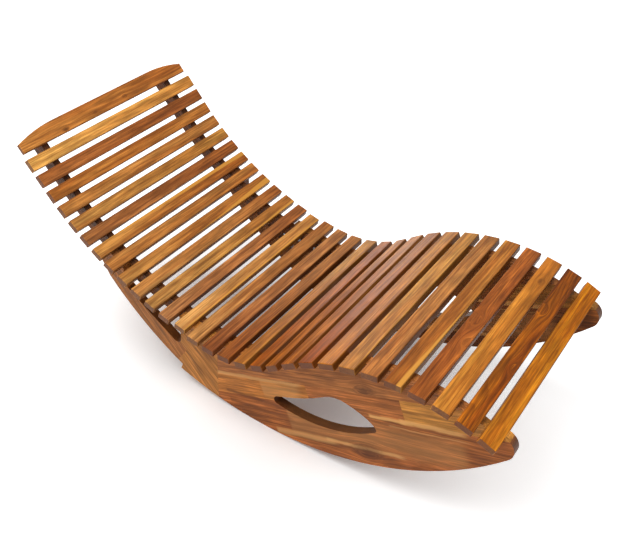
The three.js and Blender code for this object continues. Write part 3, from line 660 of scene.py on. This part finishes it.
# Places of the hand hole and of the slot, whose walls get painted shade, as (x, x) and (z, z) in metres, with
# the blur round them
WALL_PLACES = (((0.09, 0.38), (0.088, 0.226)), ((-0.36, -0.195), (0.13, 0.26)))
WALL_BLUR = 0.004
WALL_RAMP = (0.3, 0.7, 0.75, 0)
# The left side frame has the right one's boards with another grain, darkened as painted shade for the
# chaise's own shadow on it
LEFT_NUMBER_STEP = 20
LEFT_PAINTED_SHADE = 0.62


def board_turn(grain):
    """Axes of a side frame's board: across its grain, along it, and through its thickness."""
    along = Vector((math.cos(grain), 0, math.sin(grain)))
    across = Vector((math.sin(grain), 0, -math.cos(grain)))
    return Matrix((across, along, across.cross(along))).transposed()


def add_line(g, colour, line):
    """A streak between two places in side view, with soft, wavering edges: grain, or painted shadow."""
    start = Vector((line.from_place[0], 0, line.from_place[1]))
    reach = Vector((line.to_place[0], 0, line.to_place[1])) - start
    ahead = reach.normalized()
    place = g.own("Object")
    from_start = g.vector("SUBTRACT", place, start)
    along = g.vector("DOT_PRODUCT", from_start, ahead)
    aside = g.vector("DOT_PRODUCT", from_start, (-ahead.z, 0, ahead.x))
    waver = g.times(g.minus(grain_noise(g, place, LINE_NOISE), 0.5), LINE_WAVER)
    off = g.absolute(g.plus(aside, waver))
    mask = g.step(off, line.width * LINE_FULL, line.width * LINE_GONE, line.strength, 0)
    mask = g.times(mask, g.step(along, -LINE_BLUR, LINE_BLUR))
    mask = g.times(mask, g.step(along, reach.length - LINE_FADE, reach.length, 1, 0))
    return g.mix(mask, colour, linear(line.colour))


def between(g, value, low, high):
    """One between two values, and zero past them, with a blur outside either."""
    return g.times(g.step(value, low - WALL_BLUR, low), g.step(value, high, high + WALL_BLUR, 1, 0))


def paint_wall_shade(g, colour):
    """Painted shade: darker colour on the walls of the hand hole and of the slot behind the arm."""
    facing_side = g.absolute(g.split(g.own("Normal"))[1])
    wall = g.step(facing_side, *WALL_RAMP)
    x, y, z = g.split(g.own("Object"))
    for across, upright in WALL_PLACES:
        mask = g.times(g.times(between(g, x, *across), between(g, z, *upright)), wall)
        colour = g.mix(mask, colour, linear(HOLE_WALL_SHADE))
    return colour


def board_material(name, board, number_step, shade):
    material, g = new_material(name + "_wood")
    turn = board_turn(board.grain)
    place = board_place(g, SEAM_FOOT, turn)
    across, along, through = g.split(place)
    bent = bend_grain(g, place, board.knots)
    first, *others = board.staves
    colour, roughness, height = wood(g, bent, first.tone, first.number + number_step, first.streaks, shade)
    for stave in others:
        part = wood(g, bent, stave.tone, stave.number + number_step, stave.streaks, shade)
        skewed = g.plus(along, g.times(across, stave.lean))
        colour = g.mix(g.math("GREATER_THAN", skewed, stave.start), colour, part["Color"])
    for line in LINES:
        colour = add_line(g, colour, line)
    for knot in board.knots:
        colour = add_knot(g, colour, place, knot)
    colour = add_end_grain(g, colour, turn.col[1])
    # Painted shade inside the hand hole and the slot
    colour = paint_wall_shade(g, colour)
    finish_wood(g, colour, roughness, height)
    return material


def dress_side_frames():
    # The left side frame's boards are darkened as painted shade
    for side, number_step, shade in (("right", 0, 1.0), ("left", LEFT_NUMBER_STEP, LEFT_PAINTED_SHADE)):
        for name, board in BOARDS.items():
            node = f"{side}_{name}"
            dress(node, board_material(node, board, number_step, shade))


# Rails and stretcher: the pieces under the slats, with no figure of their own

FIRST_RAIL_NUMBER = 60
STRETCHER_NUMBER = 63
PLAIN_STREAKS = 0.5


def dress_rails():
    turn = board_turn(RAIL_GRAIN)
    for number, name in enumerate(("left_back_rail", "right_back_rail"), FIRST_RAIL_NUMBER):
        material, g = new_material(name + "_wood")
        place = board_place(g, SEAM_FOOT, turn)
        colour, roughness, height = wood(g, place, RAIL_TONE, number, PLAIN_STREAKS)
        finish_wood(g, add_end_grain(g, colour, turn.col[1]), roughness, height)
        dress(name, material)


def dress_stretcher():
    """The stretcher's wood, whose grain runs along the chaise."""
    material, g = new_material("seat_stretcher_wood")
    along_chaise = Matrix(((0, 0, 1), (1, 0, 0), (0, 1, 0))).transposed()
    place = board_place(g, Vector((0, 0, 0)), along_chaise)
    finish_wood(g, *wood(g, place, TONES["umber_wood"], STRETCHER_NUMBER, PLAIN_STREAKS))
    dress("seat_stretcher", material)


# Bolts and insert nuts

SPANGLE = Layer(900, 900, 3, 0.6)
DULL_PATCHES = (0.35, 0.65)
ZINC_ROUGHNESS = (0.3, 0.7, 0.28, 0.46)


def zinc_material():
    """Zinc plating with fine spangle, which varies its colour and its roughness."""
    material, g = new_material("zinc_plating")
    spangle = grain_noise(g, g.own("Object"), SPANGLE)
    shader = g.add("ShaderNodeBsdfPrincipled")
    g.put(shader.inputs["Base Color"], g.mix(g.step(spangle, *DULL_PATCHES), linear(ZINC), linear(DULL_ZINC)))
    g.put(shader.inputs["Metallic"], 1.0)
    g.put(shader.inputs["Roughness"], g.step(spangle, *ZINC_ROUGHNESS))
    g.put(g.add("ShaderNodeOutputMaterial").inputs["Surface"], shader.outputs[0])
    return material


def dress_fittings():
    zinc = zinc_material()
    for name in frame["nodes"]:
        if "_bolt_" in name or "_nut_" in name:
            dress(name, zinc)


# Studio: white floor, a white surround and two soft lamps

# The floor adds white for the eye only. It adds least on a rectangle under the chaise, and more with
# the distance from there and behind the chaise, so that it lets the shadow show under the chaise and
# paints light over the lamp's shadow elsewhere and behind it. Each ramp is (from, to, strength,
# strength), in metres.
FLOOR_SIZE = 30
SHADOW_MIDDLE = (-0.055, -0.02)
SHADOW_HALF = (0.135, 0.23)
NEAR_WHITE = (0.0, 0.62, 0.04, 0.58)
FAR_WHITE = (0.42, 0.62, 0, 0.07)
WHITE_BEHIND = (0.17, 0.3, 0, 0.3)
BEHIND_SLOPE = 0.19
MOST_WHITE = 0.7
WORLD_LIGHT = 0.45
WORLD_SEEN = 1.0


def seen_rays(g):
    """One for the rays of the camera, of reflections and of clear materials, and zero for the rest."""
    path = g.add("ShaderNodeLightPath").outputs
    seen = g.math("ADD", path["Is Camera Ray"], path["Is Glossy Ray"], clamp=True)
    return g.math("ADD", seen, path["Is Transmission Ray"], clamp=True)


def white_where_seen(g, shader, strength):
    """The shader, with white added for the seen rays."""
    glow = g.add("ShaderNodeEmission")
    g.put(glow.inputs["Strength"], g.times(seen_rays(g), strength))
    both = g.add("ShaderNodeAddShader")
    g.put(both.inputs[0], shader)
    g.put(both.inputs[1], glow.outputs[0])
    return both.outputs[0]


def painted_floor_light(g):
    """How much white the floor adds at each place: it lets the shadow show under the chaise and paints light
    over it elsewhere.
    """
    x, y, z = g.split(g.own("Object"))
    past = [g.math("MAXIMUM", g.minus(g.absolute(g.minus(place, middle)), half), 0.0)
            for place, middle, half in zip((x, y), SHADOW_MIDDLE, SHADOW_HALF)]
    beyond = g.diagonal(*past)
    behind = g.minus(y, g.times(x, BEHIND_SLOPE))
    white = g.plus(g.step(beyond, *NEAR_WHITE), g.step(beyond, *FAR_WHITE))
    return g.math("MINIMUM", g.plus(white, g.step(behind, *WHITE_BEHIND)), MOST_WHITE)


def build_floor():
    bpy.ops.mesh.primitive_plane_add(size=FLOOR_SIZE, location=(0, 0, 0))
    floor = bpy.context.object
    floor.name = "floor"
    material, g = new_material("white_floor")
    diffuse = g.add("ShaderNodeBsdfDiffuse")
    g.put(diffuse.inputs["Color"], linear(FLOOR))
    surface = white_where_seen(g, diffuse.outputs[0], painted_floor_light(g))
    g.put(g.add("ShaderNodeOutputMaterial").inputs["Surface"], surface)
    floor.data.materials.append(material)


def build_world():
    world = bpy.data.worlds.new("studio")
    world.use_nodes = True
    world.node_tree.nodes.clear()
    g = Graph(world.node_tree)
    back = g.add("ShaderNodeBackground")
    g.put(back.inputs["Strength"], g.plus(g.times(seen_rays(g), WORLD_SEEN - WORLD_LIGHT), WORLD_LIGHT))
    g.put(g.add("ShaderNodeOutputWorld").inputs["Surface"], back.outputs[0])
    bpy.context.scene.world = world


def add_softbox(name, place, target, size, watts):
    lamp = bpy.data.lights.new(name, "AREA")
    lamp.shape = "SQUARE"
    lamp.size = size
    lamp.energy = watts
    holder = bpy.data.objects.new(name, lamp)
    holder.location = place
    holder.rotation_euler = (Vector(target) - Vector(place)).to_track_quat("-Z", "Y").to_euler()
    bpy.context.scene.collection.objects.link(holder)


def build_camera():
    camera = bpy.data.cameras.new("camera")
    camera.sensor_width = SENSOR_WIDTH_MM
    camera.lens = FOCAL_LENGTH_PX * SENSOR_WIDTH_MM / IMAGE_WIDTH_PX
    holder = bpy.data.objects.new("camera", camera)
    turn = Matrix.Rotation(CAMERA_TURN, 4, "Z") @ Matrix.Rotation(CAMERA_TILT, 4, "X")
    holder.matrix_world = Matrix.Translation(CAMERA_PLACE) @ turn @ Matrix.Rotation(CAMERA_ROLL, 4, "Z")
    bpy.context.scene.collection.objects.link(holder)
    bpy.context.scene.camera = holder


build_slats()
dress_side_frames()
dress_rails()
dress_stretcher()
dress_fittings()
build_floor()
build_world()
add_softbox("key_softbox", place=(-0.5, -1.0, 2.7), target=(-0.1, 0, 0.2), size=2.0, watts=72)
add_softbox("sheen_softbox", place=(-2.4, 2.3, 0.9), target=(0.1, 0.2, 0.3), size=1.3, watts=24)
build_camera()
bpy.context.scene.view_settings.view_transform = "Standard"
